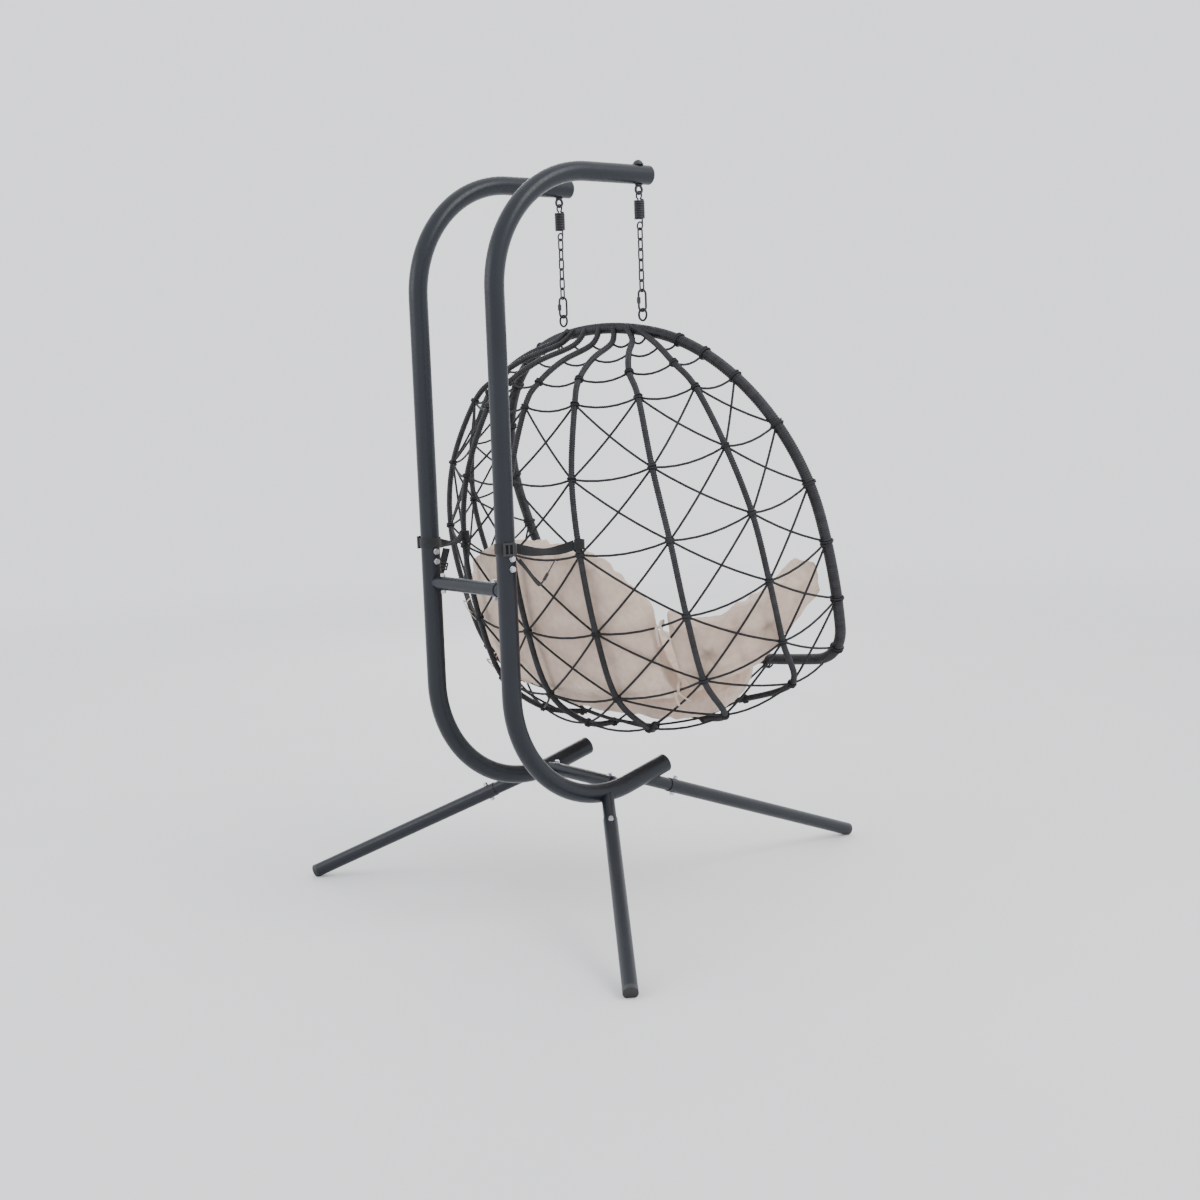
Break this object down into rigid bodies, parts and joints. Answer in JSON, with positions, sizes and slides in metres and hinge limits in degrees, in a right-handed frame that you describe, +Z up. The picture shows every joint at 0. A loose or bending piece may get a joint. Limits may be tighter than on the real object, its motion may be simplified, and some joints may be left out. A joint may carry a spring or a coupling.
{
  "type": "hanging basket chair with stand",
  "caption": "Wide hanging basket chair, roped and cushioned, hung by springs and chains from a twin-post tubular stand on splayed legs.",
  "frame": {"origin": "on the floor, under the middle of the object's overall box", "axes": "+Z up; -Y is the way the seat faces; -X is the sitter's right, the side of the front leg"},
  "size_m": [1.4276, 1.4035, 1.9677],
  "materials": {
    "powder_coated_steel": "satin powder coat, dark slate",
    "blackened_steel": "blackened wire, springs and chain",
    "zinc_hardware": "bright zinc plate",
    "black_plastic": "moulded, satin",
    "basket_cord": "wound resin cord, slight sheen",
    "cushion_cloth": "woven, matt, beige",
    "black_webbing": "woven strap",
    "buckle_plastic": "moulded, satin"
  },
  "bodies": {
    "stand": {"right_upper_post": "powder_coated_steel", "left_upper_post": "powder_coated_steel", "right_lower_post": "powder_coated_steel", "left_lower_post": "powder_coated_steel", "arm_caps": "black_plastic", "foot_arm_caps": "black_plastic", "post_bolts": "zinc_hardware", "mid_crossbar": "powder_coated_steel", "lower_crossbar": "powder_coated_steel", "crossbar_bolts": "zinc_hardware", "right_rear_leg": "powder_coated_steel", "left_rear_leg": "powder_coated_steel", "front_leg": "powder_coated_steel", "leg_bolts": "zinc_hardware", "right_rear_foot": "black_plastic", "left_rear_foot": "black_plastic", "front_foot": "black_plastic", "right_hanger_eye": "blackened_steel", "left_hanger_eye": "blackened_steel", "hanger_cap_nuts": "black_plastic", "right_strap": "black_webbing", "left_strap": "black_webbing", "right_buckle": "buckle_plastic", "left_buckle": "buckle_plastic"},
    "right_spring": {"right_spring": "blackened_steel"},
    "left_spring": {"left_spring": "blackened_steel"},
    "right_chain": {"right_chain": "blackened_steel", "right_quick_link": "blackened_steel", "right_link_nut": "blackened_steel"},
    "left_chain": {"left_chain": "blackened_steel", "left_quick_link": "blackened_steel", "left_link_nut": "blackened_steel"},
    "basket": {"right_basket_ring": "powder_coated_steel", "left_basket_ring": "powder_coated_steel", "basket_rim": "basket_cord", "rib_1": "basket_cord", "rib_2": "basket_cord", "rib_3": "basket_cord", "rib_4": "basket_cord", "rib_5": "basket_cord", "rib_6": "basket_cord", "rib_7": "basket_cord", "net_bay_1": "basket_cord", "net_bay_2": "basket_cord", "net_bay_3": "basket_cord", "net_bay_4": "basket_cord", "net_bay_5": "basket_cord", "net_bay_6": "basket_cord", "net_bay_7": "basket_cord", "net_bay_8": "basket_cord", "seat_net": "basket_cord", "back_cushion": "cushion_cloth", "left_side_cushion": "cushion_cloth", "right_side_cushion": "cushion_cloth", "seat_cushion": "cushion_cloth"}
  },
  "joints": [
    {"name": "right_swing", "type": "hinge", "parent": "stand", "child": "right_spring", "pos_m": [-0.166, 0.1097, 1.8845], "axis": [1, 0, 0], "range_deg": [-3, 5], "deforming": ["right_strap", "left_strap"]},
    {"name": "right_bounce", "type": "slide", "parent": "right_spring", "child": "right_chain", "axis": [0, 0, -1], "range_m": [0, 0.025], "stiffness_N_per_m": 40000, "springref_m": -0.012, "deforming": ["right_spring"]},
    {"name": "basket_tilt", "type": "hinge", "parent": "right_chain", "child": "basket", "pos_m": [-0.166, 0.1097, 1.5828], "axis": [1, 0, 0], "range_deg": [-3, 3]},
    {"name": "left_swing", "type": "hinge", "parent": "stand", "child": "left_spring", "pos_m": [0.166, 0.1097, 1.8845], "axis": [1, 0, 0], "range_deg": [-3, 5]},
    {"name": "left_bounce", "type": "slide", "parent": "left_spring", "child": "left_chain", "axis": [0, 0, -1], "range_m": [0, 0.025], "deforming": ["left_spring"]}
  ],
  "couplings": [
    {"joint": "left_swing", "follows": "right_swing", "ratio": 1},
    {"joint": "left_bounce", "follows": "right_bounce", "ratio": 1}
  ]
}
